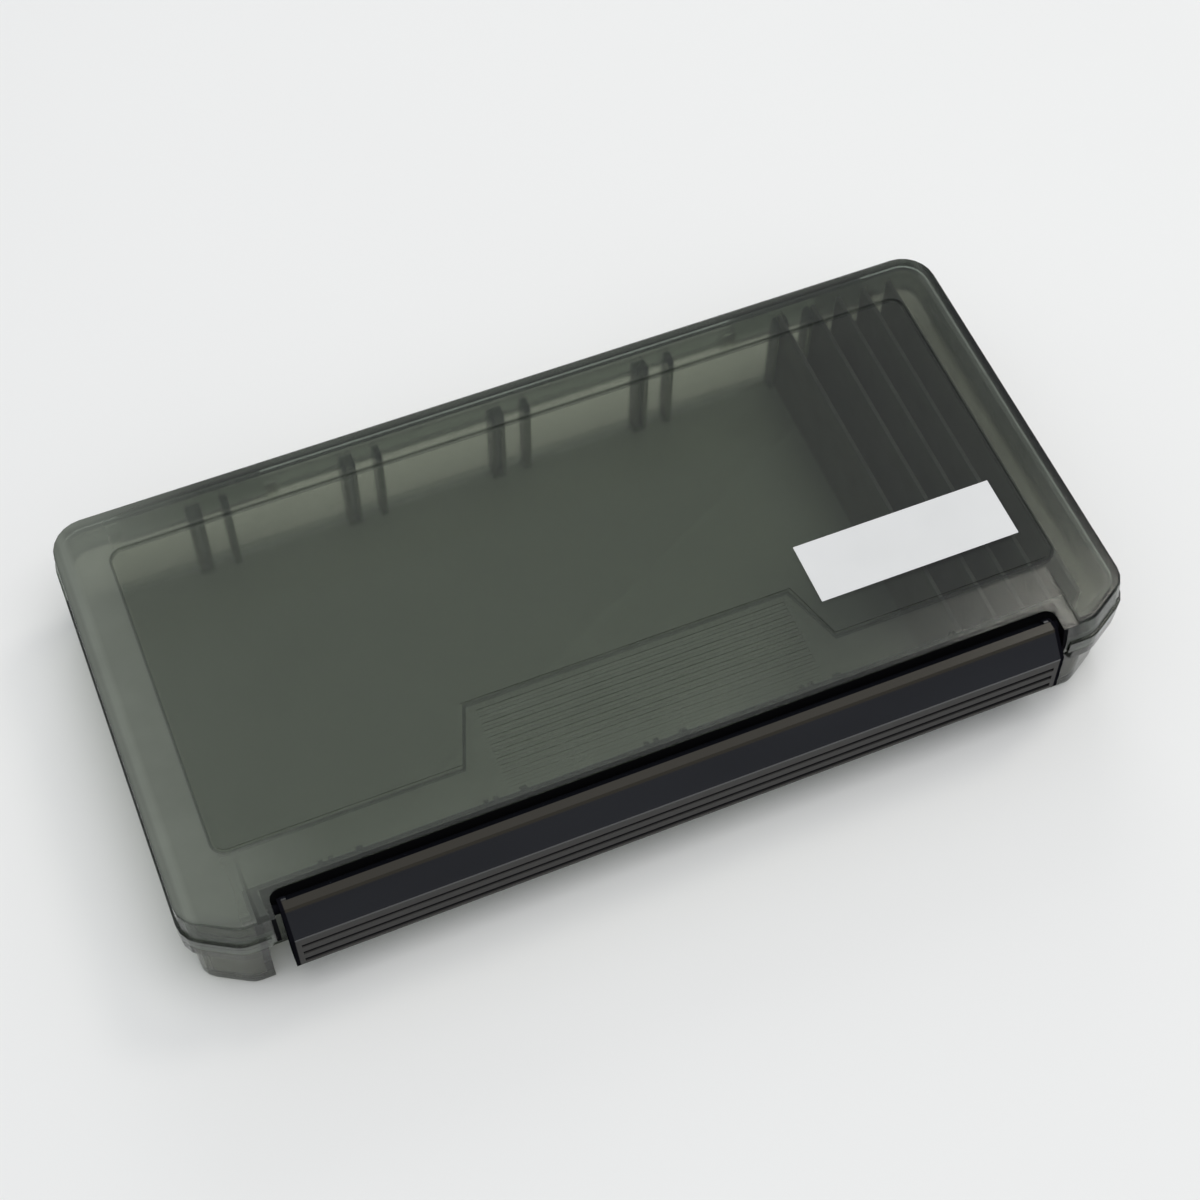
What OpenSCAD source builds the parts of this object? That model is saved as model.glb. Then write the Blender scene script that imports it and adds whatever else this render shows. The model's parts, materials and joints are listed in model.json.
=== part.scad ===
// Flat see-through compartment case: a tray, a hinged lid, a latch bar along the
// whole front and loose divider plates. Millimetres, +Z up, front towards -Y.
// Origin: centre of the closed case in plan, on the surface that it rests on.

/* [Case] */
// Overall width, over the rim of the lid
case_w = 233; // [215:1:260]
// Depth of the lid's rim, front to back
rim_d = 117.1; // [105:0.1:135]
// Height of the closed case
case_h = 32; // [30:0.5:40]
// Height of the lid above its joint with the tray
lid_h = 10.2; // [9.8:0.1:12]
// Radius of the back corners in plan
back_corner_r = 9; // [6:0.5:12]
// Width of the front corner chamfers
chamfer_x = 12; // [9:0.5:13]
// Depth of the front corner chamfers
chamfer_y = 7; // [5:0.5:8]
// Radius that blends each chamfer into the straight edges
chamfer_r = 7; // [3:0.5:9]
// Width of the corner block at each end of the latch
corner_w = 20.5; // [18:0.5:26]

/* [Lid] */
// Thickness of the lid's top plate
top_t = 1.6; // [1.4:0.1:2]
// Thickness of the lid's outer walls
lid_wall = 2; // [1.8:0.1:2.4]
// Thickness of the lid's walls around the notch for the latch
notch_wall = 1.4; // [1.2:0.1:1.8]
// How far the rim stands out from the lid's side walls
lip_proud = 0.6; // [0.4:0.1:1.2]
// Height of the rim
lip_h = 4; // [3:0.5:5]
// Rounding of the lid's top edge
lid_edge_r = 0.8; // [0.4:0.1:1.2]
// How far the front and the chamfered walls of the lid lean back, up to the top
front_lean = 1.2; // [0.4:0.1:1.6]
// Depth of the notch for the latch, behind the front of the rim
notch_d = 8.1; // [7.7:0.1:10]
// Radius of the notch's back corners in plan
notch_r = 2.5; // [1:0.1:3]
// Drop of the sloping strip behind the latch, at its front
ramp_drop = 0.6; // [0.3:0.1:0.7]
// How far the sloping strip runs past each end of the notch
ramp_end = 4; // [2:0.5:6]
// Width of the fine groove that frames the clear panel
frame_groove_w = 0.9; // [0.6:0.1:1.4]
// Depth of the fine grooves in the top
groove_depth = 0.3; // [0.2:0.05:0.5]
// Distance from the rim to the framed panel at the sides
panel_side = 12.5; // [9:0.1:14]
// Distance from the back of the rim to the framed panel
panel_back = 12.2; // [11:0.1:16]
// Distance from the front of the rim to the framed panel
panel_front = 20; // [18:0.5:22]
// Corner radius of the framed panel
panel_r = 3.5; // [2:0.5:6]
// Width of the grip pad at its back edge
pad_w = 80.8; // [60:0.2:100]
// Depth of the grip pad behind the panel's front line
pad_d = 14.8; // [10:0.2:20]
// How much wider the grip pad is at its front than at its back
pad_flare = 11.3; // [4:0.1:16]
// Plain margin of the grip pad around its grooves
pad_margin = 2; // [1:0.1:4]
// Number of grooves in the grip pad
pad_grooves = 12; // [6:1:14]

/* [Tray] */
// Thickness of the tray's side walls
body_wall = 1.7; // [1.4:0.1:2]
// Thickness of the tray's collar inside the lid
collar_t = 1; // [0.8:0.1:1.4]
// Thickness of the floor
floor_t = 1.6; // [1.2:0.1:2.4]
// Rounding where the floor meets the inside walls
floor_r = 2.5; // [1.5:0.5:4]
// Rounding of the tray's bottom edge
foot_r = 1.5; // [1:0.25:3]
// Height of the flange under the rim of the tray
flange_h = 3.8; // [2:0.2:5]
// Distance from the back of the rim to the back end of the flange
flange_end = 16; // [12:1:30]
// Clearance between collar and lid
lid_gap = 0.3; // [0.25:0.05:0.5]
// Clearance between the rim of the lid and the tray
rim_gap = 0.2; // [0.1:0.05:0.4]

/* [Divider slots] */
// Distance from the left-hand end of the case to the middle of the nearest slot group
slot_start = 39; // [36:0.5:42]
// Distance from the right-hand end of the case to the middle of the nearest slot group
slot_end = 38; // [38:0.5:42]
// Number of slot groups along the case
slot_groups = 5; // [3:2:5]
// Distance of a slot, and of its partner rib, from the middle of the group
slot_offset = 3.9; // [3.5:0.1:4]
// Thickness of the two ribs beside a slot
rib_t = 1.1; // [0.7:0.1:1.3]
// Thickness of the single rib of each group
single_rib_t = 1.7; // [0.9:0.1:1.9]
// Depth of the slot ribs
rib_d = 3; // [2:0.1:4]
// Drop of the slot ribs below the top of the plates
rib_drop = 1; // [0.6:0.1:5]

/* [Dividers] */
// Thickness of a divider plate
divider_t = 1; // [0.8:0.05:1.2]
// Gap between the top of the divider plates and the lid
divider_top_gap = 2.6; // [1:0.1:6]
// Clearance of a divider plate in its slot and between the walls
divider_gap = 0.15; // [0.1:0.05:0.3]
// Distance between neighbouring spare plates
spare_pitch = 7.2; // [5:0.1:7.2]
// Distance from the right-hand wall to the nearest spare plate
spare_wall_gap = 7; // [5:0.1:7]

/* [Latch] */
// How far the latch stands out from the front of the rim
latch_proud = 3.3; // [2.6:0.1:4]
// Clearance at each end of the latch
latch_end_gap = 1.4; // [1:0.1:2]
// Thickness of the latch's wall
latch_t = 1.6; // [1.3:0.1:2]
// Depth of the flat strip along the latch's top
strip_d = 2.1; // [1.6:0.1:2.3]
// Drop of the strip below the top of the lid
strip_drop = 0.3; // [0.1:0.1:0.6]
// Gap between the strip and the back of the notch
strip_gap = 3.4; // [3.4:0.1:3.6]
// How far the lip behind the strip reaches back from the latch axis
rear_lip_d = 2.7; // [1.5:0.1:2.8]
// Depth of the latch axis below the strip
latch_axis_drop = 2.7; // [2.6:0.1:2.8]
// Radius of the bosses on the latch axis
latch_boss_r = 2.2; // [2:0.1:2.3]
// Thickness of the latch's end walls
latch_end_t = 2; // [1.5:0.1:2.5]
// Height of the sloping face
face_h = 5.4; // [4:0.1:6.5]
// Height of the ribbed grip
grip_h = 11.9; // [10:0.1:13]
// Lean of the ribbed grip, from its top to its bottom
grip_lean = 0.7; // [0.3:0.1:1]
// Step from the sloping face out to the grip
grip_step = 0.5; // [0.2:0.1:0.8]
// Number of grooves along the grip
grip_grooves = 3; // [2:1:3]
// Height of the plain band above the grooves
grip_plain_top = 2.2; // [1:0.1:3]
// Height of each grip groove
grip_groove_h = 1.4; // [0.8:0.1:1.6]
// Depth of each grip groove
grip_groove_d = 0.6; // [0.3:0.1:0.8]
// Slope of each side of a grip groove, measured along its height
grip_groove_slope = 0.6; // [0.3:0.1:0.8]
// Length of the plain end beside the grooves
grip_plain_end = 2.1; // [1.5:0.1:4]
// Depth of the ledge that the latch hooks under
ledge_d = 2.2; // [1.5:0.1:2.6]
// Thickness of the ledge and of the hook rail
ledge_t = 1.5; // [1.2:0.1:1.8]
// Clearance between hook and ledge
hook_gap = 0.3; // [0.25:0.05:0.4]
// Width of the barb at the edge of the hook rail
barb_d = 1.2; // [0.8:0.1:1.4]
// Height of the barb above the hook rail
barb_h = 0.8; // [0.4:0.1:1]
// Distance from each end of the notch to the ledge and the hook rail
hook_end = 16; // [8:1:50]

/* [Hinges] */
// Distance from each end of the case to the outer end of its hinge tab
hinge_end = 17.5; // [16:0.5:30]
// Length of each hinge tab
hinge_w = 36; // [24:0.1:37]
// Height of the hinge tabs above the hinge axis
hinge_tab_h = 6.2; // [4:0.1:7]
// Radius of the hinge barrels
hinge_r = 2.2; // [2:0.1:2.4]
// How far the hinge barrels stand out from the back of the rim
hinge_proud = 1.6; // [1.5:0.1:1.8]
// Radius of the moulded trunnions
pin_r = 1.15; // [1:0.05:1.25]
// Running clearance of the trunnions in their holes
pin_gap = 0.05; // [0.03:0.01:0.08]
// Thickness of the hinge ears
ear_t = 2.8; // [2:0.1:3.4]
// End clearance between hinge tabs and ears
ear_gap = 0.3; // [0.2:0.05:0.5]

/* [Label] */
// Width of the blank label
label_w = 51.8; // [30:0.2:60]
// Depth of the blank label
label_d = 16.2; // [8:0.1:24]
// Thickness of the blank label
label_t = 0.12; // [0.08:0.02:0.3]
// Distance from the right-hand end of the case to the middle of the label
label_end = 43.9; // [43:0.1:60]
// Distance from the front of the rim to the middle of the label
label_front = 37.5; // [34:0.1:60]

/* [Hidden] */

smoke = [0.42, 0.45, 0.40, 0.6];
smoke_dark = [0.30, 0.33, 0.31];
latch_black = [0.07, 0.07, 0.08];
eps = 0.01;
far = 200;              // longer than any cut needs to be
over = 1;               // how far a cut runs past the face that it opens
min_r = 0.4;            // smallest corner radius of an inset outline
ramp_gap = 1.5;         // from the panel's front line to the start of the slope
end_foot = 4;           // depth of the latch's end walls at the bottom
foot_bevel = 1.5;       // bevel at the foot of the front wall
flange_bevel = 0.8;     // bevel under the tray's flange
rear_lip_t = 1;         // height of the edge of the lip behind the latch's strip
block_step = 1.5;       // step from the collar's end to the corner block's face
arc_steps = 6;          // segments of a rounded edge or corner
fine = 48;              // segments of a pin or bore

// Plan
total_d = latch_proud + rim_d + hinge_proud;
rim_back = total_d / 2 - hinge_proud;
rim_front = rim_back - rim_d;
latch_front = -total_d / 2;
notch_x = case_w / 2 - corner_w;
notch_y = rim_front + notch_d;

// Insets from the rim's outline
skirt_in = lip_proud;
lid_in = skirt_in + lid_wall;
collar_out = lid_in + lid_gap;
cavity_in = collar_out + collar_t;
body_in = cavity_in - body_wall;

// Heights
parting_z = case_h - lid_h;
lip_z = parting_z + rim_gap;
lip_top = lip_z + lip_h;
ceiling_z = case_h - top_t;
collar_top = ceiling_z - lid_gap;
divider_top = ceiling_z - divider_top_gap;
rib_top_z = divider_top - rib_drop;

// Tray walls behind the latch
collar_front_y = notch_y + notch_wall + lid_gap;
cavity_front = collar_front_y + collar_t;
wall_front_y = cavity_front - body_wall;
cavity_back = rim_back - cavity_in;
cavity_x = case_w / 2 - cavity_in;
collar_end_x = notch_x + notch_wall + lid_gap;
block_in_x = collar_end_x + block_step;

// Hinge axis at the back and latch axis at the front
hinge_y = total_d / 2 - hinge_r;
hinge_z = parting_z;
hinge_in_x = case_w / 2 - hinge_end - hinge_w;
latch_y = notch_y - strip_gap;
latch_z = case_h - strip_drop - latch_axis_drop;

// How far the leaning walls stand back at a height
function lean_at(z) = front_lean * max(0, z - lip_top) / (case_h - lip_top);
chamfer_a = atan2(chamfer_x, chamfer_y);
chamfer_c = (chamfer_y * case_w / 2 - chamfer_x * (rim_front + chamfer_y))
            / norm([chamfer_x, chamfer_y]);
// Outline of the rim: [outward angle, distance from the origin] of each edge,
// anticlockwise from the right-hand side, with the leaning edges set back
function rim_edges(lean) =
    [[0, case_w / 2], [90, rim_back], [180, case_w / 2],
     [180 + chamfer_a, chamfer_c - lean], [270, -rim_front - lean],
     [360 - chamfer_a, chamfer_c - lean], [360, case_w / 2]];
rim_radii = [back_corner_r, back_corner_r, chamfer_r, chamfer_r, chamfer_r, chamfer_r];

// Outline of the framed panel, in the same form
panel_edges = [[0, case_w / 2 - panel_side], [90, rim_back - panel_back],
               [180, case_w / 2 - panel_side], [270, -(rim_front + panel_front)],
               [360, case_w / 2 - panel_side]];
panel_radii = [panel_r, panel_r, panel_r, panel_r];

// Point where two edges, each moved inwards by s, meet
function meet(e, f, s) =
    let (ce = e[1] - s, cf = f[1] - s, turn = sin(f[0] - e[0]))
    [ce * sin(f[0]) - cf * sin(e[0]), cf * cos(e[0]) - ce * cos(f[0])] / turn;

// Rounded corner between two edges, inset by d
function corner(e, f, r, d, n) =
    let (rr = max(r - d, min_r), c = meet(e, f, d + rr))
    [for (k = [0:n]) let (a = e[0] + (f[0] - e[0]) * k / n) c + rr * [cos(a), sin(a)]];

// Plan outline, inset by d
function outline(edges, radii, d) =
    [for (i = [0:len(radii) - 1]) each corner(edges[i], edges[i + 1], radii[i], d,
        edges[i + 1][0] - edges[i][0] > 60 ? arc_steps : arc_steps / 2)];

// Quarter round that leads in from a flat face: [inset, height] pairs
function rounding(d, z, r, up) =
    [for (k = [0:arc_steps]) let (a = 90 * k / arc_steps)
        up > 0 ? [d + r * (1 - cos(a)), z - r + r * sin(a)]
               : [d + r * (1 - sin(a)), z + r - r * cos(a)]];

// Solid with the rim's outline, inset at each height as the [inset, height] pairs say;
// the front and the chamfers lean back above the rim
module loft(levels) {
    rings = [for (level = levels)
        [for (p = outline(rim_edges(lean_at(level[1])), rim_radii, level[0]))
            [p[0], p[1], level[1]]]];
    n = len(rings[0]);
    last = len(levels) - 1;
    polyhedron(
        points = [for (ring = rings) each ring],
        faces = concat(
            [[for (i = [0:n - 1]) i]],
            [for (j = [0:last - 1], i = [0:n - 1])
                [j * n + i, (j + 1) * n + i, (j + 1) * n + (i + 1) % n, j * n + (i + 1) % n]],
            [[for (i = [n - 1:-1:0]) last * n + i]]));
}

// Block between two corners
module block(low, high) {
    translate(low) cube(high - low);
}

// Solid of a [y, z] outline along X, centred on x
module along_x(points, x, length) {
    translate([x - length / 2, 0, 0])
        rotate([90, 0, 90])
            linear_extrude(length) polygon(points);
}

// Round bar along X from x1 to x2
module bar_x(x1, x2, y, z, r) {
    translate([min(x1, x2), y, z])
        rotate([0, 90, 0])
            cylinder(r = r, h = abs(x2 - x1), $fn = fine);
}

hook_len = 2 * (notch_x - hook_end);
slot_pitch = (case_w - slot_start - slot_end) / (slot_groups - 1);
// Middles of the slot groups
function group_x() = [for (i = [0:slot_groups - 1]) slot_start - case_w / 2 + i * slot_pitch];
// Opening of a slot between its two ribs
slot_w = divider_t + 2 * divider_gap;

// ---------- Tray ----------

module tray_shell() {
    difference() {
        union() {
            loft(concat(rounding(body_in, 0, foot_r, -1),
                        [[body_in, parting_z], [collar_out, parting_z],
                         [collar_out, lip_top], [collar_out, collar_top]]));
            tray_flange();
        }
        latch_recess();
        difference() {
            loft(concat(rounding(cavity_in, floor_t, floor_r, -1),
                        [[cavity_in, lip_top], [cavity_in, case_h]]));
            block([-block_in_x - body_wall, rim_front - eps, -eps],
                  [block_in_x + body_wall, cavity_front, far]);
        }
    }
}

// Flange under the joint, flush with the rim of the lid, along the front and the sides
module tray_flange() {
    low = parting_z - flange_h;
    difference() {
        loft([[body_in, low - flange_bevel], [flange_bevel, low], [0, low + flange_bevel],
              [0, parting_z]]);
        block([-far, rim_back - flange_end, -eps], [far, far, far]);
    }
}

// Space in front of the tray's front wall: for the latch below the joint,
// and for the notch of the lid above it
module latch_recess() {
    along_x([[rim_front - eps, -eps], [wall_front_y + foot_bevel, -eps],
             [wall_front_y, foot_bevel], [wall_front_y, parting_z],
             [rim_front - eps, parting_z]], 0, 2 * block_in_x);
    block([-collar_end_x, rim_front - eps, parting_z], [collar_end_x, collar_front_y, far]);
}

// Rounding between the floor and the front wall
module front_floor_fillet() {
    top = floor_t + floor_r;
    arc = [for (k = [0:arc_steps]) let (a = 90 * k / arc_steps)
        [cavity_front + floor_r * (1 - cos(a)), top - floor_r * sin(a)]];
    along_x(concat([[cavity_front - eps, top]], arc, [[cavity_front - eps, floor_t - eps]]),
            0, 2 * (block_in_x + body_wall));
}

// One vertical rib of a divider slot, on the wall at y, pointing along side
module slot_rib(x, y, side, t) {
    lead = rib_t;
    along_x([[y - side * eps, floor_t], [y + side * rib_d, floor_t],
             [y + side * rib_d, rib_top_z - lead], [y + side * (rib_d - lead), rib_top_z],
             [y - side * eps, rib_top_z]], x, t);
}

module slot_ribs() {
    rib_x = (slot_w + rib_t) / 2;
    for (x = group_x(), wall = [[cavity_back, -1], [cavity_front, 1]]) {
        slot_rib(x - slot_offset - rib_x, wall[0], wall[1], rib_t);
        slot_rib(x - slot_offset + rib_x, wall[0], wall[1], rib_t);
        slot_rib(x + slot_offset, wall[0], wall[1], single_rib_t);
    }
}

// Ledge on the front wall that the latch hooks under
module hook_ledge() {
    block([-hook_len / 2, wall_front_y - ledge_d, parting_z - ledge_t],
          [hook_len / 2, wall_front_y + eps, parting_z]);
}

// X positions of the four hinge ears: [end next to the tab, outer end]
function ear_spans() = [for (side = [-1, 1])
    each [[side * (hinge_in_x - ear_gap), side * (hinge_in_x - ear_gap - ear_t)],
          [side * (hinge_in_x + hinge_w + ear_gap),
           side * (hinge_in_x + hinge_w + ear_gap + ear_t)]]];

// Ear with a rounded end around the hinge axis and a web down to the wall
module hinge_ear(span) {
    wall_y = rim_back - body_in - body_wall / 2;
    bar_x(span[0], span[1], hinge_y, hinge_z, hinge_r);
    web_z = hinge_z - 3 * hinge_r;
    along_x([[wall_y, web_z], [hinge_y, hinge_z - hinge_r],
             [hinge_y, hinge_z + hinge_r], [wall_y, hinge_z + hinge_r]],
            (span[0] + span[1]) / 2, abs(span[1] - span[0]));
}

module case_body() {
    color(smoke) difference() {
        union() {
            tray_shell();
            front_floor_fillet();
            slot_ribs();
            hook_ledge();
            for (span = ear_spans()) hinge_ear(span);
        }
        for (side = [-1, 1])
            bar_x(side * (hinge_in_x - ear_gap), side * (hinge_in_x + hinge_w + ear_gap),
                  hinge_y, hinge_z, hinge_r + lid_gap);
        for (span = ear_spans()) {
            past = over * sign(span[1] - span[0]);
            bar_x(span[0] - past, span[1] + past, hinge_y, hinge_z, pin_r + pin_gap);
        }
    }
}

// ---------- Lid ----------

// Space of the notch for the latch, with rounded back corners
module latch_notch() {
    block([-notch_x, rim_front - eps, -eps], [notch_x, notch_y - notch_r, far]);
    block([-notch_x + notch_r, rim_front - eps, -eps], [notch_x - notch_r, notch_y, far]);
    for (side = [-1, 1])
        translate([side * (notch_x - notch_r), notch_y - notch_r, -eps])
            cylinder(r = notch_r, h = far, $fn = fine);
}

module lid_shell() {
    difference() {
        loft(concat([[0, lip_z], [0, lip_top - lip_proud / 2],
                     [lip_proud / 2, lip_top], [skirt_in, lip_top]],
                    rounding(skirt_in, case_h, lid_edge_r, 1)));
        latch_notch();
        difference() {
            loft([[lid_in, parting_z - eps], [lid_in, lip_top], [lid_in, ceiling_z]]);
            block([-notch_x - notch_wall, rim_front - eps, -eps],
                  [notch_x + notch_wall, notch_y + notch_wall, far]);
        }
        rim_end = notch_x + notch_wall + lip_proud;
        block([-rim_end, rim_front - eps, -eps], [rim_end, rim_front + lip_proud, far]);
    }
}

// Hinge tab: barrel, block up the back of the lid, and a trunnion at each end
module hinge_tab(side) {
    inner = side * hinge_in_x;
    outer = side * (hinge_in_x + hinge_w);
    back = hinge_y + hinge_r;
    soft = hinge_r / 4;
    bar_x(inner, outer, hinge_y, hinge_z, hinge_r);
    along_x([[rim_back - lid_in, hinge_z + rim_gap], [hinge_y, hinge_z], [back, hinge_z],
             [back, hinge_z + hinge_tab_h - soft], [back - soft, hinge_z + hinge_tab_h],
             [rim_back - lid_in, hinge_z + hinge_tab_h]],
            (inner + outer) / 2, hinge_w);
    reach = ear_gap + ear_t - pin_gap;
    bar_x(inner - side * reach, outer + side * reach, hinge_y, hinge_z, pin_r);
}

// Clear space around one ear in the rim and back wall of the lid
module ear_notch(span) {
    low = min(span[0], span[1]) - ear_gap;
    high = max(span[0], span[1]) + ear_gap;
    block([low, rim_back - lid_in - eps, lip_z - over],
          [high, rim_back + over, hinge_z + hinge_r + 2 * ear_gap]);
}

// Grip pad in plan, grown by g
module pad_shape(g) {
    front = rim_front + panel_front;
    half = pad_w / 2 + g;
    flare = pad_flare / 2;
    polygon([[-half, front + pad_d + g], [half, front + pad_d + g],
             [half + flare, front - over - g], [-half - flare, front - over - g]]);
}

// Framed panel in plan, inset by g, with the grip pad left out
module panel_shape(g) {
    difference() {
        polygon(outline(panel_edges, panel_radii, g));
        pad_shape(g);
    }
}

module top_grooves() {
    translate([0, 0, case_h - groove_depth])
        linear_extrude(over) difference() {
            panel_shape(0);
            panel_shape(frame_groove_w);
        }
    back = rim_front + panel_front + pad_d - pad_margin;
    pitch = (back - notch_y - pad_margin) / pad_grooves;
    half = pad_w / 2 - pad_margin;
    for (i = [0:pad_grooves - 1])
        block([-half, back - i * pitch - pitch / 2, case_h - groove_depth],
              [half, back - i * pitch, case_h + over]);
}

// Strip between the creases that slopes down to the latch
module front_ramp() {
    start = rim_front + panel_front - ramp_gap;
    along_x([[start, case_h], [rim_front, case_h - ramp_drop], [rim_front, case_h + over],
             [start, case_h + over]], 0, 2 * (notch_x + ramp_end));
}

module lid() {
    color(smoke) difference() {
        union() {
            lid_shell();
            for (side = [-1, 1]) hinge_tab(side);
        }
        for (span = ear_spans()) difference() {
            ear_notch(span);
            bar_x(span[0] - over * sign(span[1] - span[0]), span[1], hinge_y, hinge_z, pin_r);
        }
        top_grooves();
        front_ramp();
        for (side = [-1, 1])
            bar_x(side * (notch_x - over), side * (notch_x + notch_wall + over),
                  latch_y, latch_z, pin_r + pin_gap);
    }
}

// ---------- Latch ----------

strip_z = case_h - strip_drop;
grip_top = strip_z - face_h;
grip_bottom = grip_top - grip_h;
face_front = latch_front + grip_lean + grip_step;
strip_back = notch_y - strip_gap;
strip_front = strip_back - strip_d;

// Front of the grip at a height
function grip_y(z) = latch_front + grip_lean * (z - grip_bottom) / grip_h;

// Outer side of the latch's section, from the back of the strip down to the bottom
function latch_outside() = concat(
    [[strip_back, strip_z], [strip_front, strip_z], [face_front, grip_top + grip_step],
     [grip_y(grip_top), grip_top]],
    [[latch_front, grip_bottom]]);

// Inner side, from the bottom up to the back of the strip
function latch_inside() = [
    [latch_front + latch_t + grip_groove_d, grip_bottom],
    [face_front + latch_t, grip_top - latch_t / 2],
    [strip_front + latch_t / 2, strip_z - latch_t],
    [strip_back, strip_z - latch_t]];

module grip_grooves_cut() {
    half = notch_x - latch_end_gap - grip_plain_end;
    pitch = (grip_h - grip_plain_top) / grip_grooves;
    wide = grip_groove_h / 2 + grip_groove_slope;
    narrow = grip_groove_h / 2 - grip_groove_slope / 2;
    for (i = [0:grip_grooves - 1]) {
        mid = grip_top - grip_plain_top - pitch * (i + 1 / 2);
        bottom = grip_y(mid) + grip_groove_d;
        along_x([[latch_front - over, mid + wide], [bottom, mid + narrow],
                 [bottom, mid - narrow], [latch_front - over, mid - wide]], 0, 2 * half);
    }
}

// End wall of the latch, with the boss and the trunnion that turns in the lid
module latch_end(side) {
    outer = side * (notch_x - latch_end_gap);
    inner = outer - side * latch_end_t;
    along_x(concat(latch_outside(),
                   [[latch_front + end_foot, grip_bottom],
                    [latch_y - latch_boss_r / 2, grip_top - end_foot / 2],
                    [strip_back, latch_z - latch_boss_r / 2]]),
            (outer + inner) / 2, latch_end_t);
    bar_x(inner, outer, latch_y, latch_z, latch_boss_r);
    bar_x(inner, side * (notch_x + notch_wall - pin_gap), latch_y, latch_z, pin_r);
}

// Lip behind the strip that closes the gap over the latch axis
module rear_lip() {
    tip_z = latch_z - rear_lip_d / 3;
    along_x([[strip_back - latch_t / 2, strip_z - latch_t / 4], [strip_back, strip_z - latch_t / 4],
             [strip_back + rear_lip_d, tip_z],
             [strip_back + rear_lip_d - rear_lip_t / 2, tip_z - rear_lip_t],
             [strip_back - latch_t / 2, strip_z - latch_t]],
            0, 2 * (notch_x - latch_end_gap - latch_end_t) + eps);
}

// Rail inside the latch with the barb that passes under the ledge
module hook_rail() {
    tip = wall_front_y - ledge_d - hook_gap;
    top = parting_z - ledge_t - hook_gap;
    low = top - ledge_t - barb_h;
    soft = barb_d / 2;
    root = latch_front + latch_t;
    along_x([[root, low], [tip, low], [tip, top - soft], [tip - soft, top],
             [tip - barb_d, top], [tip - barb_d, low + ledge_t], [root, low + ledge_t]],
            0, hook_len);
}

module latch_bar() {
    color(latch_black) union() {
        difference() {
            along_x(concat(latch_outside(), latch_inside()), 0, 2 * (notch_x - latch_end_gap));
            grip_grooves_cut();
        }
        for (side = [-1, 1]) latch_end(side);
        rear_lip();
        hook_rail();
    }
}

// ---------- Label and dividers ----------

module label() {
    color("white")
        translate([case_w / 2 - label_end - label_w / 2,
                   rim_front + label_front - label_d / 2, case_h])
            cube([label_w, label_d, label_t]);
}

// Divider plate standing on the floor, with bottom corners that follow the tray's
module divider_plate(x) {
    front = cavity_front + 2 * divider_gap;
    back = cavity_back - 2 * divider_gap;
    r = floor_r;
    low_front = [for (k = [0:arc_steps]) let (a = 90 * k / arc_steps)
        [front + r * (1 - cos(a)), floor_t + r * (1 - sin(a))]];
    low_back = [for (k = [arc_steps:-1:0]) let (a = 90 * k / arc_steps)
        [back - r * (1 - cos(a)), floor_t + r * (1 - sin(a))]];
    color(smoke_dark)
        along_x(concat([[front, divider_top]], low_front, low_back, [[back, divider_top]]),
                x, divider_t);
}

// Plate 1 stands in the slot of the last group, the spare ones by the right-hand wall
slot_divider_x = case_w / 2 - slot_end - slot_offset;
function spare_x(i) = cavity_x - spare_wall_gap - i * spare_pitch;

module divider_1() { divider_plate(slot_divider_x); }
module divider_2() { divider_plate(spare_x(3)); }
module divider_3() { divider_plate(spare_x(2)); }
module divider_4() { divider_plate(spare_x(1)); }
module divider_5() { divider_plate(spare_x(0)); }

case_body();
lid();
latch_bar();
label();
divider_1();
divider_2();
divider_3();
divider_4();
divider_5();
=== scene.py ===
"""Looks of a flat see-through compartment case with a full-width black latch.

The CAD solids keep their shapes. The scene gives each of them a finish and adds the floor, the light
and the camera at the photograph's angle. Every mask in a finish reads object coordinates, in metres.
"""

from __future__ import annotations

import functools
import json
import logging
import math
from dataclasses import dataclass
from enum import Enum

import bpy
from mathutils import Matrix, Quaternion, Vector

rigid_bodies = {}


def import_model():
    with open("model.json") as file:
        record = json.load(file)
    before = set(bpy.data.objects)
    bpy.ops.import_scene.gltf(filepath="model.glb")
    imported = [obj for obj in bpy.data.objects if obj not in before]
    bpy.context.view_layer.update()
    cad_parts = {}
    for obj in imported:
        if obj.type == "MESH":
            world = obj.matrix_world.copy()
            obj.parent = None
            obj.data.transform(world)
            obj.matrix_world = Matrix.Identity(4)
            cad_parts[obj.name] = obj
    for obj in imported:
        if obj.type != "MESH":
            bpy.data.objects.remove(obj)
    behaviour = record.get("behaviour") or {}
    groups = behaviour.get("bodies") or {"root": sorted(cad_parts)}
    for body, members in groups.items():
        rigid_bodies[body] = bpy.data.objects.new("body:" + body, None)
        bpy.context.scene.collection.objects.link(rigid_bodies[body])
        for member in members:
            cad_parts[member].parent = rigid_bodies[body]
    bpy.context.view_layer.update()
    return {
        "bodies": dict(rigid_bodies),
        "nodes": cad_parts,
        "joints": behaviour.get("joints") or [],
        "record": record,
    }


LOG = logging.getLogger("compartment_case")
MM = 0.001
PLATES = 5
CLEAR_IOR = 1.49

Socket = bpy.types.NodeSocket
Triple = tuple[float, float, float]
Colour = Triple
Span = tuple[float, float]
Input = Socket | float | Triple

# The part of a noise pattern that is spread over a finish's own range
NOISE_SPAN: Span = (0.3, 0.7)


class Shader(Enum):
    """The shaders that the finishes are made of, by Blender's names of their nodes."""

    PLASTIC = "ShaderNodeBsdfPrincipled"
    MATTE = "ShaderNodeBsdfDiffuse"
    TRANSLUCENT = "ShaderNodeBsdfTranslucent"
    SEE_THROUGH = "ShaderNodeBsdfTransparent"
    ABSORB = "ShaderNodeVolumeAbsorption"
    SKY = "ShaderNodeBackground"


class Part(Enum):
    """The CAD nodes with a finish of their own, by their names in the frame."""

    TRAY = "case_body"
    LID = "lid"
    LATCH = "latch_bar"
    LABEL = "label"


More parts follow.
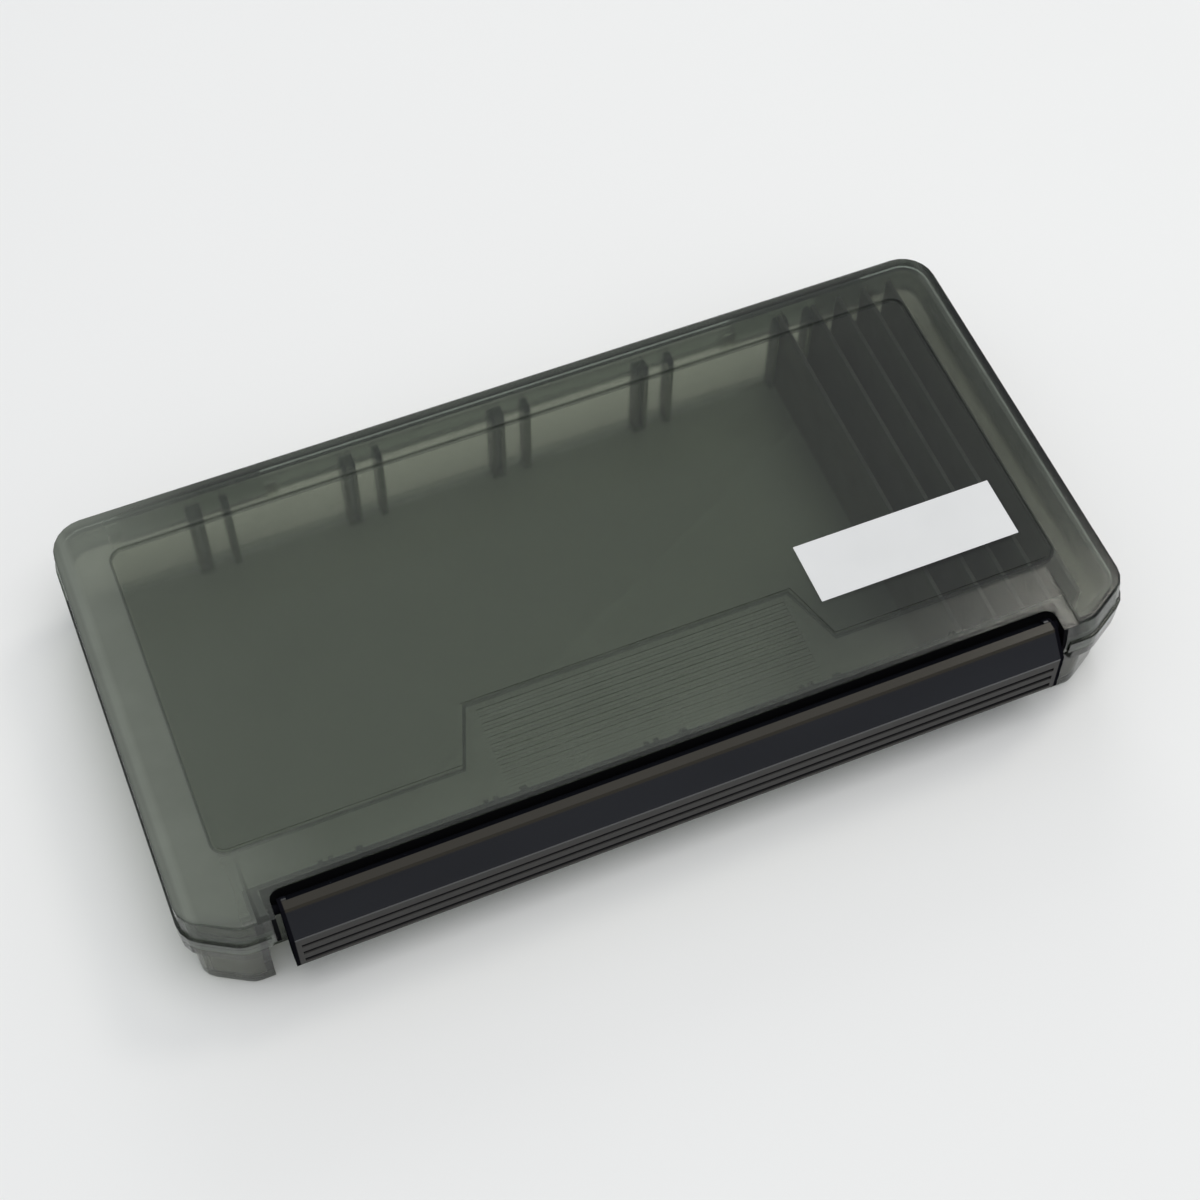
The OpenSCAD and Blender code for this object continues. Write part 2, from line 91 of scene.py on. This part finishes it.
@dataclass(frozen=True)
class Pattern:
    """A noise pattern: repeats per metre, octaves, strength of the finer ones, factors on X, Y and Z."""

    scale: float
    detail: float = 2.0
    rough: float = 0.5
    stretch: Triple = (1.0, 1.0, 1.0)


@dataclass(frozen=True)
class Relief:
    """A fine bump: its depth in metres and its strength."""

    depth: float
    strength: float


class Graph:
    """A node tree, with short calls for the nodes that the finishes and the sky use."""

    def __init__(self, owner: bpy.types.Material | bpy.types.World, output: str,
                 coordinates: str) -> None:
        """Starts an empty tree.

        Args:
            owner: the material or the world that the tree belongs to.
            output: Blender's name of its output node.
            coordinates: which texture coordinates its patterns and masks read.
        """
        owner.use_nodes = True
        self.owner = owner
        self.tree = owner.node_tree
        self.tree.nodes.clear()
        self.output = self.node(output)
        self.place = self.node("ShaderNodeTexCoord").outputs[coordinates]

    @classmethod
    def of_material(cls, name: str) -> Graph:
        """Starts the tree of a new material with that name."""
        return cls(bpy.data.materials.new(name), "ShaderNodeOutputMaterial", "Object")

    @classmethod
    def of_world(cls, name: str) -> Graph:
        """Starts the tree of a new world with that name."""
        return cls(bpy.data.worlds.new(name), "ShaderNodeOutputWorld", "Generated")

    @functools.cached_property
    def axes(self) -> tuple[Socket, Socket, Socket]:
        """The X, Y and Z sockets of the place."""
        split = self.node("ShaderNodeSeparateXYZ")
        self.put(split.inputs[0], self.place)
        return tuple(split.outputs)

    def node(self, kind: str, **options: object) -> bpy.types.Node:
        """Adds one node.

        Args:
            kind: Blender's name of the node type.
            options: attributes to set on the node.

        Returns:
            The new node.
        """
        made = self.tree.nodes.new(kind)
        for key, value in options.items():
            setattr(made, key, value)
        return made

    def put(self, socket: Socket, value: Input) -> None:
        """Links a socket to an input, or sets a constant on it.

        Args:
            socket: the input socket.
            value: an output socket, or a constant. A colour gets its alpha here.
        """
        if isinstance(value, Socket):
            self.tree.links.new(value, socket)
        elif socket.type == "RGBA":
            socket.default_value = (*value, 1)
        else:
            socket.default_value = value

    def fill(self, made: bpy.types.Node, inputs: dict[str, Input]) -> Socket:
        """Puts values into a node's inputs.

        Args:
            made: the node.
            inputs: the values, by the names of the sockets.

        Returns:
            The node's first output.
        """
        for name, value in inputs.items():
            self.put(made.inputs[name], value)
        return made.outputs[0]

    def shader(self, kind: Shader, inputs: dict[str, Input]) -> Socket:
        """Adds a shader, with its inputs by the names of the sockets."""
        return self.fill(self.node(kind.value), inputs)

    def math(self, operation: str, *values: Input) -> Socket:
        """Adds a Math node.

        Args:
            operation: the operation's name.
            values: its inputs, in order.

        Returns:
            The result's socket.
        """
        made = self.node("ShaderNodeMath", operation=operation)
        for socket, value in zip(made.inputs, values):
            self.put(socket, value)
        return made.outputs[0]

    def product(self, *values: Input) -> Socket:
        """Multiplies two or more values."""
        return functools.reduce(lambda first, second: self.math("MULTIPLY", first, second), values)

    def noise(self, pattern: Pattern) -> Socket:
        """Adds a noise pattern.

        Args:
            pattern: its scale and character.

        Returns:
            The pattern's 0 to 1 socket.
        """
        place = self.fill(self.node("ShaderNodeMapping"),
                          {"Vector": self.place, "Scale": pattern.stretch})
        return self.fill(self.node("ShaderNodeTexNoise"),
                         {"Vector": place, "Scale": pattern.scale, "Detail": pattern.detail,
                          "Roughness": pattern.rough})

    def span(self, value: Input, low: float, high: float, to_low: Input, to_high: Input) -> Socket:
        """Maps a value from one span to another, clamped.

        Args:
            value: the socket to map.
            low: start of the span that is read.
            high: end of the span that is read.
            to_low: result at the start.
            to_high: result at the end.

        Returns:
            The mapped socket.
        """
        made = self.node("ShaderNodeMapRange", clamp=True)
        for socket, item in zip(made.inputs, (value, low, high, to_low, to_high)):
            self.put(socket, item)
        return made.outputs[0]

    def spread(self, noise: Socket, to_low: float, to_high: float) -> Socket:
        """Spreads a noise pattern over a range, from its low to its high places."""
        return self.span(noise, *NOISE_SPAN, to_low, to_high)

    def past(self, value: Input, edge: float, soft: float) -> Socket:
        """Share of being past an edge: it rises from 0 at the edge to 1 over the soft width."""
        return self.span(value, edge, edge + soft, 0, 1)

    def before(self, value: Input, edge: float, soft: float) -> Socket:
        """Share of being before an edge: it falls from 1 at the edge to 0 over the soft width."""
        return self.span(value, edge, edge + soft, 1, 0)

    def blend(self, share: Input, first: Input, second: Input) -> Socket:
        """Mixes two colours.

        Args:
            share: share of the second colour.
            first: colour or socket.
            second: colour or socket.

        Returns:
            The mixed colour's socket.
        """
        made = self.node("ShaderNodeMix", data_type="RGBA")
        self.put(made.inputs[0], share)
        for socket, item in zip((s for s in made.inputs if s.type == "RGBA"), (first, second)):
            self.put(socket, item)
        return next(s for s in made.outputs if s.type == "RGBA")

    def mix(self, share: Input, first: Socket, second: Socket) -> Socket:
        """Mixes two shaders.

        Args:
            share: share of the second shader.
            first: shader socket.
            second: shader socket.

        Returns:
            The mixed shader's socket.
        """
        made = self.node("ShaderNodeMixShader")
        for socket, item in zip(made.inputs, (share, first, second)):
            self.put(socket, item)
        return made.outputs[0]

    def bump(self, height: Socket, relief: Relief, under: Socket | None = None) -> Socket:
        """Adds a bump.

        Args:
            height: socket of the height, 0 to 1.
            relief: its depth and strength.
            under: normal socket of another bump below this one.

        Returns:
            The normal's socket.
        """
        inputs = {"Height": height, "Distance": relief.depth, "Strength": relief.strength}
        if under is not None:
            inputs["Normal"] = under
        return self.fill(self.node("ShaderNodeBump"), inputs)

    def finish(self, surface: Socket, inside: Socket | None = None) -> bpy.types.ID:
        """Connects the output.

        Args:
            surface: the surface's shader socket.
            inside: the inside's shader socket.

        Returns:
            The finished material or world.
        """
        self.put(self.output.inputs["Surface"], surface)
        if inside is not None:
            self.put(self.output.inputs["Volume"], inside)
        return self.owner


@dataclass(frozen=True)
class Panel:
    """The clear framed panel in the lid's top, in plan, and the creases beside the notch."""

    half_x: float = 104.0 * MM
    back: float = 47.2 * MM
    front: float = -37.7 * MM
    corner: float = 3.5 * MM
    pad_back: float = -22.6 * MM
    pad_half: float = 40.4 * MM
    pad_flare: float = 0.37
    line_core: float = 0.24 * MM
    line_soft: float = 0.32 * MM
    crease_x: float = 99.9 * MM
    crease_back: float = -39.5 * MM
    crease_widen: float = 0.045
    crease_soft: float = 0.3 * MM
    crease_start: float = 1.0 * MM

    def depth(self, g: Graph) -> Socket:
        """Distance outside the panel's line in plan, negative inside.

        Args:
            g: the material's nodes.

        Returns:
            The distance in metres, as a socket.
        """
        x, y, _ = g.axes
        aside = g.math("ABSOLUTE", x)
        ahead = g.math("ABSOLUTE", g.math("SUBTRACT", y, (self.back + self.front) / 2))
        past_x = g.math("SUBTRACT", aside, self.half_x - self.corner)
        past_y = g.math("SUBTRACT", ahead, (self.back - self.front) / 2 - self.corner)
        squares = [g.math("POWER", g.math("MAXIMUM", past, 0.0), 2.0) for past in (past_x, past_y)]
        reach = g.math("POWER", g.math("ADD", *squares), 0.5)
        inside = g.math("MINIMUM", g.math("MAXIMUM", past_x, past_y), 0.0)
        frame = g.math("SUBTRACT", g.math("ADD", reach, inside), self.corner)
        behind = g.math("SUBTRACT", self.pad_back, y)
        wide = g.math("ADD", g.math("MULTIPLY", behind, self.pad_flare), self.pad_half)
        pad = g.math("MINIMUM", behind, g.math("SUBTRACT", wide, aside))
        return g.math("MAXIMUM", frame, pad)

    def line(self, g: Graph, depth: Socket) -> Socket:
        """Share of the moulded line around the panel and of the creases that widen to the front.

        Args:
            g: the material's nodes.
            depth: the distance from the panel's line.

        Returns:
            The share's socket.
        """
        frame = g.before(g.math("ABSOLUTE", depth), self.line_core, self.line_soft)
        x, y, _ = g.axes
        ahead = g.math("SUBTRACT", self.crease_back, y)
        aside = g.math("ABSOLUTE", g.math("SUBTRACT", g.math("ABSOLUTE", x), self.crease_x))
        over = g.math("SUBTRACT", aside, g.math("MULTIPLY", ahead, self.crease_widen))
        crease = g.product(g.before(over, 0, self.crease_soft), g.past(ahead, 0, self.crease_start))
        return g.math("MAXIMUM", frame, crease)


@dataclass(frozen=True)
class Rim:
    """The lid's outline, with a band of painted highlight just inside its rounded edge at the sides and
    the back.
    """

    half_x: float = 116.5 * MM
    back: float = 61.0 * MM
    band_start: float = 2.1 * MM
    start_soft: float = 0.8 * MM
    band_end: float = 3.8 * MM
    end_soft: float = 1.3 * MM

    def band(self, g: Graph) -> Socket:
        """Share of the band with the painted highlight.

        Args:
            g: the material's nodes.

        Returns:
            The share's socket.
        """
        x, y, _ = g.axes
        side = g.math("SUBTRACT", self.half_x, g.math("ABSOLUTE", x))
        inside = g.math("MINIMUM", side, g.math("SUBTRACT", self.back, y))
        return g.product(g.past(inside, self.band_start, self.start_soft),
                         g.before(inside, self.band_end, self.end_soft))


@dataclass(frozen=True)
class Slots:
    """Thick plastic of the divider slots along the back wall."""

    first: float = -77.5 * MM
    pitch: float = 39.0 * MM
    groups: int = 5
    slot_at: float = -3.9 * MM
    slot_half: float = 1.75 * MM
    single_at: float = 3.9 * MM
    single_half: float = 0.85 * MM
    top: float = 26.8 * MM
    back: float = 52.6 * MM
    soft: float = 0.15 * MM

    def mask(self, g: Graph) -> Socket:
        """Share of slot plastic: 1 on the ribs of the slots, 0 elsewhere.

        Args:
            g: the material's nodes.

        Returns:
            The share's socket.
        """
        x, y, z = g.axes
        along = g.math("SUBTRACT", x, self.first)
        near = g.math("ROUND", g.math("DIVIDE", along, self.pitch))
        near = g.math("MINIMUM", g.math("MAXIMUM", near, 0.0), self.groups - 1.0)
        off = g.math("SUBTRACT", along, g.math("MULTIPLY", near, self.pitch))
        ribs = [g.before(g.math("ABSOLUTE", g.math("SUBTRACT", off, at)), half, self.soft)
                for at, half in ((self.slot_at, self.slot_half), (self.single_at, self.single_half))]
        return g.product(g.math("MAXIMUM", *ribs), g.past(y, self.back - self.soft, self.soft),
                         g.before(z, self.top, self.soft))


@dataclass(frozen=True)
class Recess:
    """A zone around the latch, alike on both sides: up to far_x, in front of back, below top."""

    far_x: float
    back: float
    top: float
    near_x: float | None = None
    soft: float = 0.1 * MM

    def mask(self, g: Graph) -> Socket:
        """Share of the zone: 1 inside, 0 elsewhere.

        Args:
            g: the material's nodes.

        Returns:
            The share's socket.
        """
        x, y, z = g.axes
        aside = g.math("ABSOLUTE", x)
        parts = [g.before(value, edge, self.soft)
                 for value, edge in ((aside, self.far_x), (y, self.back), (z, self.top))]
        if self.near_x is not None:
            parts.append(g.past(aside, self.near_x, self.soft))
        return g.product(*parts)


@dataclass(frozen=True)
class SeeThroughPlastic:
    """Plastic whose thickness gives its tone, and which lets a share of the light past."""

    name: str
    absorb: Colour
    density: float
    lets_past: Colour

    def material(self) -> bpy.types.Material:
        """Returns the plastic's material."""
        g = Graph.of_material(self.name)
        is_shadow = g.node("ShaderNodeLightPath").outputs["Is Shadow Ray"]
        past = g.shader(Shader.SEE_THROUGH, {"Color": self.lets_past})
        inside = g.shader(Shader.ABSORB, {"Color": self.absorb, "Density": self.density})
        return g.finish(g.mix(is_shadow, self.body(g), past), inside)

    def body(self, g: Graph) -> Socket:
        """The surface as every ray but a shadow ray meets it."""
        raise NotImplementedError


@dataclass(frozen=True)
class SmokePlastic(SeeThroughPlastic):
    """Smoke-coloured moulded plastic with a fine frosting and a share of milky scatter."""

    density: float = 490.0
    lets_past: Colour = (0.93, 0.94, 0.92)
    haze_colour: Colour = (0.41, 0.445, 0.395)
    haze_dull: float = 0.86
    haze_through: float = 0.5
    rough_clear: float = 0.09
    rough_frosted: float = 0.14
    rough_cloud: Span = (-0.015, 0.02)
    cloud: Pattern = Pattern(60, 3, 0.6)
    grain: Pattern = Pattern(9000)
    flow: Pattern = Pattern(22, stretch=(0.35, 1.0, 1.0))
    grain_relief: Relief = Relief(0.03 * MM, 0.25)
    flow_relief: Relief = Relief(0.6 * MM, 0.08)

    def body(self, g: Graph) -> Socket:
        """The frosted, slightly milky surface.

        Args:
            g: the material's nodes.

        Returns:
            The shader's socket.
        """
        frosting, tint = self.surface(g)
        cloud = g.noise(self.cloud)
        grain = g.bump(g.product(g.noise(self.grain), frosting), self.grain_relief)
        rough = g.math("ADD", g.span(frosting, 0, 1, self.rough_clear, self.rough_frosted),
                       g.spread(cloud, *self.rough_cloud))
        glass = g.shader(Shader.PLASTIC, {
            "Base Color": tint, "Roughness": rough, "IOR": CLEAR_IOR, "Transmission Weight": 1.0,
            "Normal": g.bump(g.noise(self.flow), self.flow_relief, grain)})
        return g.mix(self.milk(g, frosting), glass, self.haze(g, cloud))

    def surface(self, g: Graph) -> tuple[Socket, Socket]:
        """Share of frosting, and the tint of what passes the surface."""
        raise NotImplementedError

    def milk(self, g: Graph, frosting: Socket) -> Socket:
        """Share of milky scatter, for a share of frosting."""
        raise NotImplementedError

    def haze(self, g: Graph, cloud: Socket) -> Socket:
        """Milky light scattered just under the surface.

        Args:
            g: the material's nodes.
            cloud: a slow pattern that varies the tone.

        Returns:
            The shader's socket.
        """
        dull = tuple(self.haze_dull * c for c in self.haze_colour)
        tone = g.blend(g.spread(cloud, 0, 1), dull, self.haze_colour)
        return g.mix(self.haze_through, *(g.shader(kind, {"Color": tone})
                                          for kind in (Shader.MATTE, Shader.TRANSLUCENT)))


@dataclass(frozen=True)
class TrayPlastic(SmokePlastic):
    """The tray's plastic, frosted all over, with darker slots, and painted shade at its right-hand end
    and in its front recess.
    """

    name: str = "smoke_tray"
    absorb: Colour = (0.32, 0.35, 0.23)
    milk_share: Span = (0.03, 0.06)
    frost: Pattern = Pattern(40)
    frost_span: Span = (0.2, 0.8)
    frost_share: Span = (0.75, 0.95)
    warm: Colour = (1.0, 0.98, 0.90)
    floor_tint: Colour = (0.90, 0.91, 0.90)
    floor_z: float = 2.4 * MM
    floor_soft: float = 0.5 * MM
    # painted shade: the right-hand end past the last slot is tinted darker
    end_painted_shade: Colour = (0.45, 0.44, 0.395)
    end_x: float = 84.0 * MM
    end_soft: float = 1.5 * MM
    slot_dark: Colour = (0.30, 0.31, 0.28)
    slots: Slots = Slots()
    # painted shade: the front wall beside the latch's ends is tinted dark
    recess_painted_shade: Colour = (0.20, 0.20, 0.20)
    recess: Recess = Recess(far_x=98.6 * MM, back=-47.6 * MM, top=26.0 * MM, near_x=90.0 * MM)

    def surface(self, g: Graph) -> tuple[Socket, Socket]:
        """Frosting that varies slowly, and the tint of walls, floor and slots, with painted shade at the
        end and in the recess.

        Args:
            g: the material's nodes.

        Returns:
            The sockets of the share and of the tint.
        """
        x, _, z = g.axes
        tint = g.blend(g.before(z, self.floor_z, self.floor_soft), self.warm, self.floor_tint)
        # painted shade at the right-hand end
        tint = g.blend(g.past(x, self.end_x, self.end_soft), tint, self.end_painted_shade)
        tint = g.blend(self.slots.mask(g), tint, self.slot_dark)
        # painted shade in the recess beside the latch's ends
        tint = g.blend(self.recess.mask(g), tint, self.recess_painted_shade)
        return g.span(g.noise(self.frost), *self.frost_span, *self.frost_share), tint

    def milk(self, g: Graph, frosting: Socket) -> Socket:
        """Share of milky scatter, which follows the frosting."""
        return g.span(frosting, 0, 1, *self.milk_share)


@dataclass(frozen=True)
class LidPlastic(SmokePlastic):
    """The lid's plastic, clearer in its panel, with painted light that makes it milkier to the left and
    painted shade that makes its notch black inside.
    """

    name: str = "smoke_lid"
    absorb: Colour = (0.30, 0.355, 0.28)
    panel: Panel = Panel()
    panel_frost: float = 0.12
    frost_edge: float = 0.4 * MM
    clean: Colour = (0.94, 0.96, 0.96)
    line_dark: Colour = (0.34, 0.36, 0.36)
    rim: Rim = Rim()
    # painted light: shares of milky scatter that fall off from the left end
    left_end_painted_light: float = 0.62
    left_end_painted_light_soft: float = 38.0 * MM
    border_painted_light: float = 0.06
    panel_painted_light: float = 0.07
    panel_painted_light_end: float = 34.95 * MM
    # painted highlight: milky share in the rim's band
    rim_painted_highlight: float = 0.16
    top: float = 31.4 * MM
    top_soft: float = 0.5 * MM
    # painted shade: matte near-black for the notch's inner faces
    notch_painted_shade: Colour = (0.008, 0.008, 0.009)
    notch: Recess = Recess(far_x=97.0 * MM, back=-49.3 * MM, top=31.2 * MM)

    def body(self, g: Graph) -> Socket:
        """The smoke plastic, with matte black painted shade on the notch's inner faces."""
        # painted shade: the notch's inner faces get a matte near-black shader
        black = g.shader(Shader.MATTE, {"Color": self.notch_painted_shade})
        return g.mix(self.notch.mask(g), super().body(g), black)

    def surface(self, g: Graph) -> tuple[Socket, Socket]:
        """Frosting around the clear panel, and a tint that darkens its line and the creases.

        Args:
            g: the material's nodes.

        Returns:
            The sockets of the share and of the tint.
        """
        depth = self.panel.depth(g)
        frosting = g.span(depth, -self.frost_edge, self.frost_edge, self.panel_frost, 1.0)
        return frosting, g.blend(self.panel.line(g, depth), self.clean, self.line_dark)

    def milk(self, g: Graph, frosting: Socket) -> Socket:
        """Share of milky scatter, all of it painted: painted light that grows toward the left end, more
        on the border than in the panel, and a painted highlight in the rim's band.

        Args:
            g: the material's nodes.
            frosting: the share of frosting.

        Returns:
            The share's socket.
        """
        x, _, z = g.axes
        left, right = -self.rim.half_x, self.rim.half_x
        # painted light: a glow on the top surface near the left end, and along the border a share that
        # falls off to the right
        end = g.product(g.span(x, left, left + self.left_end_painted_light_soft, self.left_end_painted_light, 0),
                        g.past(z, self.top, self.top_soft))
        border = g.math("ADD", end, g.span(x, left, right, self.border_painted_light, 0))
        # painted light: the panel's share falls off from the left end
        panel = g.span(x, left, self.panel_painted_light_end, self.panel_painted_light, 0)
        # painted highlight in the rim's band
        band = g.product(self.rim.band(g), self.rim_painted_highlight)
        return g.math("ADD", g.span(frosting, 0, 1, panel, border), band)


@dataclass(frozen=True)
class DividerPlastic(SeeThroughPlastic):
    """Darker see-through plastic of the loose plates, with painted shade that leaves their tops darker
    than their faces.
    """

    name: str = "divider_smoke"
    absorb: Colour = (0.30, 0.32, 0.27)
    density: float = 1300.0
    lets_past: Colour = (0.9, 0.91, 0.89)
    tint: Colour = (0.95, 0.96, 0.94)
    rough: Span = (0.34, 0.42)
    milk: Span = (0.5, 0.6)
    milk_colour: Colour = (0.165, 0.164, 0.130)
    # painted shade: darker copy of the milk colour for the plates' tops
    top_painted_shade: Colour = (0.045, 0.046, 0.040)
    top_z: float = 27.3 * MM
    top_soft: float = 0.3 * MM
    cloud: Pattern = Pattern(70, 3, 0.6)

    def body(self, g: Graph) -> Socket:
        """The dull, milky surface of the plates.

        Args:
            g: the material's nodes.

        Returns:
            The shader's socket.
        """
        cloud = g.noise(self.cloud)
        glass = g.shader(Shader.PLASTIC, {
            "Base Color": self.tint, "Roughness": g.spread(cloud, *self.rough), "IOR": CLEAR_IOR,
            "Transmission Weight": 1.0})
        # painted shade on the plates' tops
        top = g.past(g.axes[2], self.top_z, self.top_soft)
        milk = g.shader(Shader.MATTE, {"Color": g.blend(top, self.milk_colour, self.top_painted_shade)})
        return g.mix(g.spread(cloud, *self.milk), glass, milk)


@dataclass(frozen=True)
class BlackPlastic:
    """Black moulded plastic of the latch: glossy face and strip, the strip lighter with a painted sheen,
    duller grip, matte grooves and ends.
    """

    colour: Colour = (0.0055, 0.006, 0.009)
    worn: Colour = (0.010, 0.011, 0.015)
    worn_span: Span = (0.35, 0.7)
    # painted sheen: lighter brownish colour of the strip on top
    painted_sheen_strip: Colour = (0.021, 0.0175, 0.011)
    strip_z: float = 31.0 * MM
    gloss_rough: Span = (0.16, 0.22)
    ior: float = 1.5
    grip: Colour = (0.0125, 0.011, 0.010)
    grip_rough: Span = (0.26, 0.36)
    grip_specular: float = 0.2
    grip_top: float = 25.4 * MM
    grip_foot: float = 14.4 * MM
    grip_front: float = -61.0 * MM
    grip_lean: float = 0.0588
    edge_soft: float = 0.3 * MM
    groove: Colour = (0.005, 0.005, 0.007)
    groove_depth: float = 0.12 * MM
    groove_soft: float = 0.28 * MM
    end_x: float = 93.6 * MM
    end_soft: float = 0.2 * MM
    cloud: Pattern = Pattern(35, 3, 0.6, (0.2, 1.0, 1.0))
    grain: Pattern = Pattern(5200)
    relief: Relief = Relief(0.01 * MM, 0.12)

    def material(self) -> bpy.types.Material:
        """Returns the plastic's material."""
        g = Graph.of_material("black_latch")
        x, _, z = g.axes
        cloud = g.noise(self.cloud)
        normal = g.bump(g.noise(self.grain), self.relief)
        face = g.blend(g.span(cloud, *self.worn_span, 0, 1), self.colour, self.worn)
        # painted sheen: the strip above strip_z gets a lighter, brownish base colour
        gloss = g.shader(Shader.PLASTIC, {
            "Base Color": g.blend(g.past(z, self.strip_z, self.edge_soft), face, self.painted_sheen_strip),
            "Roughness": g.spread(cloud, *self.gloss_rough), "IOR": self.ior, "Normal": normal})
        dull = g.shader(Shader.PLASTIC, {
            "Base Color": self.grip, "Roughness": g.spread(cloud, *self.grip_rough),
            "Specular IOR Level": self.grip_specular, "Normal": normal})
        matte = g.shader(Shader.MATTE, {"Color": self.groove})
        grip = g.mix(self.grooves(g), dull, matte)
        front = g.mix(g.before(z, self.grip_top, self.edge_soft), gloss, grip)
        ends = g.past(g.math("ABSOLUTE", x), self.end_x, self.end_soft)
        return g.finish(g.mix(ends, front, matte))

    def grooves(self, g: Graph) -> Socket:
        """Share of the grooves: 1 where a place lies behind the grip's leaning front.

        Args:
            g: the material's nodes.

        Returns:
            The share's socket.
        """
        _, y, z = g.axes
        lean = g.math("MULTIPLY", g.math("SUBTRACT", z, self.grip_foot), self.grip_lean)
        deep = g.math("SUBTRACT", g.math("SUBTRACT", y, self.grip_front), lean)
        return g.past(deep, self.groove_depth, self.groove_soft)


@dataclass(frozen=True)
class LabelPaper:
    """Satin white film of the blank label."""

    colour: Colour = (0.69, 0.70, 0.71)
    shaded: Colour = (0.63, 0.64, 0.65)
    shaded_span: Span = (0.35, 0.75)
    shaded_share: float = 0.6
    rough: Span = (0.34, 0.46)
    fibre: Pattern = Pattern(2600, 3, 0.6)
    cloud: Pattern = Pattern(55)
    relief: Relief = Relief(0.01 * MM, 0.1)

    def material(self) -> bpy.types.Material:
        """Returns the film's material."""
        g = Graph.of_material("label_film")
        fibre = g.noise(self.fibre)
        share = g.span(g.noise(self.cloud), *self.shaded_span, 0, self.shaded_share)
        return g.finish(g.shader(Shader.PLASTIC, {
            "Base Color": g.blend(share, self.colour, self.shaded),
            "Roughness": g.spread(fibre, *self.rough), "Normal": g.bump(fibre, self.relief)}))


@dataclass(frozen=True)
class Floor:
    """Pale plain floor: half its side, its finish and a faint cloud in its tone."""

    half: float = 3.0
    colour: Colour = (0.86, 0.865, 0.87)
    dimmer: float = 0.985
    rough: float = 0.85
    specular: float = 0.2
    cloud: Pattern = Pattern(5)

    def build(self) -> None:
        """Makes the floor."""
        bpy.ops.mesh.primitive_plane_add(size=2 * self.half)
        plane = bpy.context.object
        plane.name = "floor"
        plane.data.materials.append(self.material())

    def material(self) -> bpy.types.Material:
        """Returns the floor's material."""
        g = Graph.of_material("pale_floor")
        dim = tuple(self.dimmer * c for c in self.colour)
        return g.finish(g.shader(Shader.PLASTIC, {
            "Base Color": g.blend(g.spread(g.noise(self.cloud), 0, 1), self.colour, dim),
            "Roughness": self.rough, "Specular IOR Level": self.specular}))


@dataclass(frozen=True)
class Sky:
    """Soft light from all sides, weaker from below."""

    colour: Colour = (0.94, 0.97, 1.0)
    heights: Span = (0.1, 1.0)
    strengths: Span = (0.22, 0.7)

    def build(self) -> None:
        """Makes the world."""
        g = Graph.of_world("soft_room")
        strength = g.span(g.axes[2], *self.heights, *self.strengths)
        sky = g.shader(Shader.SKY, {"Color": self.colour, "Strength": strength})
        bpy.context.scene.world = g.finish(sky)


@dataclass(frozen=True)
class Lamp:
    """Square area lamp that faces the case: its place, side, power and colour."""

    name: str
    at: Triple
    side: float
    watts: float
    colour: Colour

    def build(self) -> None:
        """Makes the lamp."""
        data = bpy.data.lights.new(self.name, "AREA")
        data.size = self.side
        data.energy = self.watts
        data.color = self.colour
        lamp = bpy.data.objects.new(self.name, data)
        lamp.location = self.at
        lamp.rotation_mode = "QUATERNION"
        lamp.rotation_quaternion = Vector(self.at).to_track_quat("Z", "Y")
        bpy.context.scene.collection.objects.link(lamp)


@dataclass(frozen=True)
class Camera:
    """Camera at the photograph's place: angles in degrees, lens and sensor in millimetres."""

    at: Triple = (-0.1097, -0.2567, 0.4751)
    azimuth: float = -23.608
    elevation: float = 58.556
    roll: float = 1.41
    lens: float = 66.81
    sensor: float = 36.0
    nearest: float = 0.01

    def build(self) -> None:
        """Makes the camera."""
        data = bpy.data.cameras.new("camera")
        data.lens = self.lens
        data.sensor_width = self.sensor
        data.clip_start = self.nearest
        camera = bpy.data.objects.new("camera", data)
        around, up = math.radians(self.azimuth), math.radians(self.elevation)
        back = Vector((math.sin(around) * math.cos(up), -math.cos(around) * math.cos(up), math.sin(up)))
        camera.location = self.at
        camera.rotation_mode = "QUATERNION"
        level = (-back).to_track_quat("-Z", "Y")
        camera.rotation_quaternion = level @ Quaternion((0, 0, 1), math.radians(self.roll))
        bpy.context.scene.collection.objects.link(camera)
        bpy.context.scene.camera = camera


@dataclass(frozen=True)
class Studio:
    """Plain floor, soft light, three lamps and the camera."""

    floor: Floor = Floor()
    sky: Sky = Sky()
    lamps: tuple[Lamp, ...] = (
        Lamp("window", (0.5, 1.7, 0.75), 1.0, 6.0, (1.0, 0.995, 0.98)),
        Lamp("ceiling", (0.15, -0.3, 1.6), 1.2, 11.6, (1.0, 0.98, 0.95)),
        Lamp("right lamp", (1.02, 0.46, 1.6), 0.4, 3.8, (1.0, 0.96, 0.86)),
    )
    camera: Camera = Camera()

    def build(self) -> None:
        """Makes the stage and its light, and sets how colours are shown."""
        for item in (self.floor, self.sky, *self.lamps, self.camera):
            item.build()
            LOG.info("built %s", type(item).__name__)
        bpy.context.scene.view_settings.view_transform = "Standard"


def dress(node: bpy.types.Object, material: bpy.types.Material) -> None:
    """Gives a CAD node one material.

    Args:
        node: the node's object.
        material: its finish.
    """
    if not node.material_slots:
        node.data.materials.append(material)
    for slot in node.material_slots:
        slot.material = material
    LOG.info("dressed %s with %s", node.name, material.name)


def main() -> None:
    """Builds the scene."""
    logging.basicConfig(level=logging.INFO)
    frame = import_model()
    nodes = frame["nodes"]
    Studio().build()
    finishes = {Part.TRAY: TrayPlastic(), Part.LID: LidPlastic(), Part.LATCH: BlackPlastic(),
                Part.LABEL: LabelPaper()}
    for part, finish in finishes.items():
        dress(nodes[part.value], finish.material())
    plates = DividerPlastic().material()
    for number in range(1, PLATES + 1):
        dress(nodes[f"divider_{number}"], plates)


if __name__ == "__main__":
    main()
